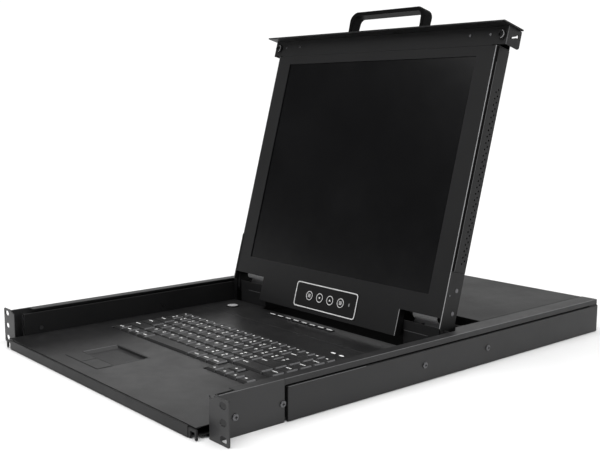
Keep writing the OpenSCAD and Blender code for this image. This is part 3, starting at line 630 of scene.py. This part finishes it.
def bar_pins():
    """Small pin ends on the inner ends of the round bars, in the light grey of the painted edge highlights.
    """
    pins = Shape(DISPLAY)
    for s in SIDES:
        for place in ((-1.4, 16.2), (-3.4, 18.4)):
            pins.rod(place, 0.8, s * 136.6, s * 137.4, "yz", 16)
    pins.make("corner_bar_pins", "display", "display_paint", EDGE)


def bumper_rim_highlights():
    """A painted highlight on the right half of each bumper's rim, where light falls."""
    glints = Shape(DISPLAY)
    for x in (-201, 201):
        glints.prism(arc_strip(x, 355.1, 5.25, 4.45, [-75 + 150 * i / 16 for i in range(17)]),
                     FACE - 3.06, FACE - 2.6, "xz")
    glints.make("bumper_rim_highlights", "display", "bumper_rubber", EDGE)


# ------------------------------------------------------------------ rails and drawer walls


def rail_screws():
    """Raised heads along both rails, with painted shade in a cross recess on each."""
    heads, recesses = Shape(), Shape()
    for y, face in ((22, EAR_SIDE), (79, EAR_SIDE), (281, COVER_SIDE), (391, COVER_SIDE)):
        for s in SIDES:
            heads.rod((y, SCREW_Z), 3.6, s * (face - 3), s * (face + 0.9), "yz", 36)
            heads.rod((y, SCREW_Z), 3.5, s * (face + 0.9), s * (face + 1.6), "yz", 36, 2.3)
            for a, b in ((1.7, 0.4), (0.4, 1.7)):
                recesses.box(across(s, face + 1.3, face + 1.66), (y - a, y + a), (SCREW_Z - b, SCREW_Z + b))
    heads.make("screw_heads", "rails", "screw_steel", bevel=0.25, replaces=("rail_screws",))
    recesses.make("screw_recesses", "rails", "screw_steel", GAP_SHADE)


def rail_lines():
    """Painted shade in the gaps round the raised covers, and painted highlights on the upper edges of the
    rails and covers.
    """
    gaps, rim_highlights = Shape(), Shape()
    for s in SIDES:
        gap, rim = across(s, 219.9, 220.15), across(s, EAR_SIDE - 0.5, EAR_SIDE + 0.07)
        gaps.box(gap, (81.6, 84.4), (4.5, 36))
        gaps.box(gap, (84.6, 607.5), (35.7, 36.9))
        rim_highlights.box(rim, (82, 624.5), (RAIL_TOP - 0.5, RAIL_TOP + 0.06))
        rim_highlights.box(rim, (4, 81), (RAIL_TOP - 0.5, RAIL_TOP + 0.06))
        rim_highlights.box(across(s, COVER_SIDE - 0.4, COVER_SIDE + 0.06), (85, 190), (35.1, 35.66))
    gaps.make("rail_gaps", "rails", "rail_paint", GAP_SHADE)
    rim_highlights.make("rail_rim_highlights", "rails", "rail_paint", SOFT_HIGHLIGHT)


def drawer_walls():
    """Rivets inside the drawer's sides, and a painted highlight along the seam across the walls in front of
    the hinges.
    """
    seam_highlights, rivets = Shape(), Shape()
    for s in SIDES:
        rivets.rod((33, 19), 2.6, s * 205.1, s * 203.9, "yz", 28)
        rivets.rod((217, 21), 1.6, s * 205.1, s * 204.4, "yz", 24)
        seam_highlights.box(across(s, 134, 172), (342.85, 343.05), (30.7, 31.3))
    seam_highlights.make("wall_seam_highlights", "drawer", "drawer_paint", SOFT_HIGHLIGHT)
    rivets.make("side_panel_rivets", "drawer", "drawer_paint", MATS["screw_steel"])


# ------------------------------------------------------------------ studio


def pale_floor():
    half = 40
    mesh = bpy.data.meshes.new("floor")
    mesh.from_pydata([(-half, -half, LOW), (half, -half, LOW), (half, half, LOW), (-half, half, LOW)], [],
                     [(0, 1, 2, 3)])
    floor = bpy.data.objects.new("floor", mesh)
    bpy.context.scene.collection.objects.link(floor)
    mesh.materials.append(surface("floor_paper", (0.86, 0.86, 0.86), 0.7, grain=40, bump=0.01, tint=0.01))


def surround():
    """A pale surround: bright behind the unit, and only near the floor in front of it."""
    world = bpy.data.worlds.new("studio")
    bpy.context.scene.world = world
    world.use_nodes = True
    tree = world.node_tree
    way = tree.nodes.new("ShaderNodeSeparateXYZ")
    tree.links.new(tree.nodes.new("ShaderNodeTexCoord").outputs["Generated"], way.inputs["Vector"])

    def ramp(value, limits, ends):
        node = tree.nodes.new("ShaderNodeMapRange")
        node.interpolation_type = "SMOOTHSTEP"
        for label, given in zip(("From Min", "From Max", "To Min", "To Max"), (*limits, *ends)):
            if isinstance(given, bpy.types.NodeSocket):
                tree.links.new(given, node.inputs[label])
            else:
                node.inputs[label].default_value = given
        tree.links.new(value, node.inputs["Value"])
        return node.outputs["Result"]

    def by_depth(front, behind):
        return ramp(way.outputs["Y"], (-0.25, 0.45), (front, behind))

    glow = ramp(way.outputs["Z"], (by_depth(0.08, 0.20), by_depth(0.20, 0.50)), (1.05, by_depth(0.10, 0.24)))
    tree.links.new(glow, tree.nodes["Background"].inputs["Color"])
    tree.nodes["Background"].inputs["Strength"].default_value = 1.0


def soft_sun(name, toward, strength, angle):
    """A broad, soft light shining along one direction."""
    data = bpy.data.lights.new(name, "SUN")
    data.energy = strength
    data.angle = math.radians(angle)
    obj = bpy.data.objects.new(name, data)
    obj.rotation_euler = Vector(toward).to_track_quat("-Z", "Y").to_euler()
    bpy.context.scene.collection.objects.link(obj)


def place_camera():
    data = bpy.data.cameras.new("camera")
    data.sensor_width = 36
    data.lens = 54.89
    data.shift_x = 0.0287
    data.shift_y = 0.0083
    data.clip_start = 0.02
    data.clip_end = 200
    camera = bpy.data.objects.new("camera", data)
    camera.location = (0.8676, -0.4613, 0.3087 + LOW)
    camera.rotation_euler = (math.radians(90 - 8.54), math.radians(0.05), math.radians(50.08))
    bpy.context.scene.collection.objects.link(camera)
    bpy.context.scene.camera = camera


def plain_colours():
    view = bpy.context.scene.view_settings
    view.view_transform = "Standard"
    view.look = "None"
    view.exposure = 0
    view.gamma = 1


# ------------------------------------------------------------------ everything in order

cad_pieces()
all_keys()
port_marks()
deck_edges()
status_lamps()
well_painted_shade()
console_button_highlight()
membrane()
display_screws()
display_edges()
corner_bars()
hinge_tubes()
bar_pins()
bumper_rim_highlights()
rail_screws()
rail_lines()
drawer_walls()
pale_floor()
surround()
soft_sun("overhead", (-0.10, 0.12, -1.0), 3.2, 70)
soft_sun("front_left", (0.5, 0.8, -0.9), 0.7, 40)
place_camera()
plain_colours()
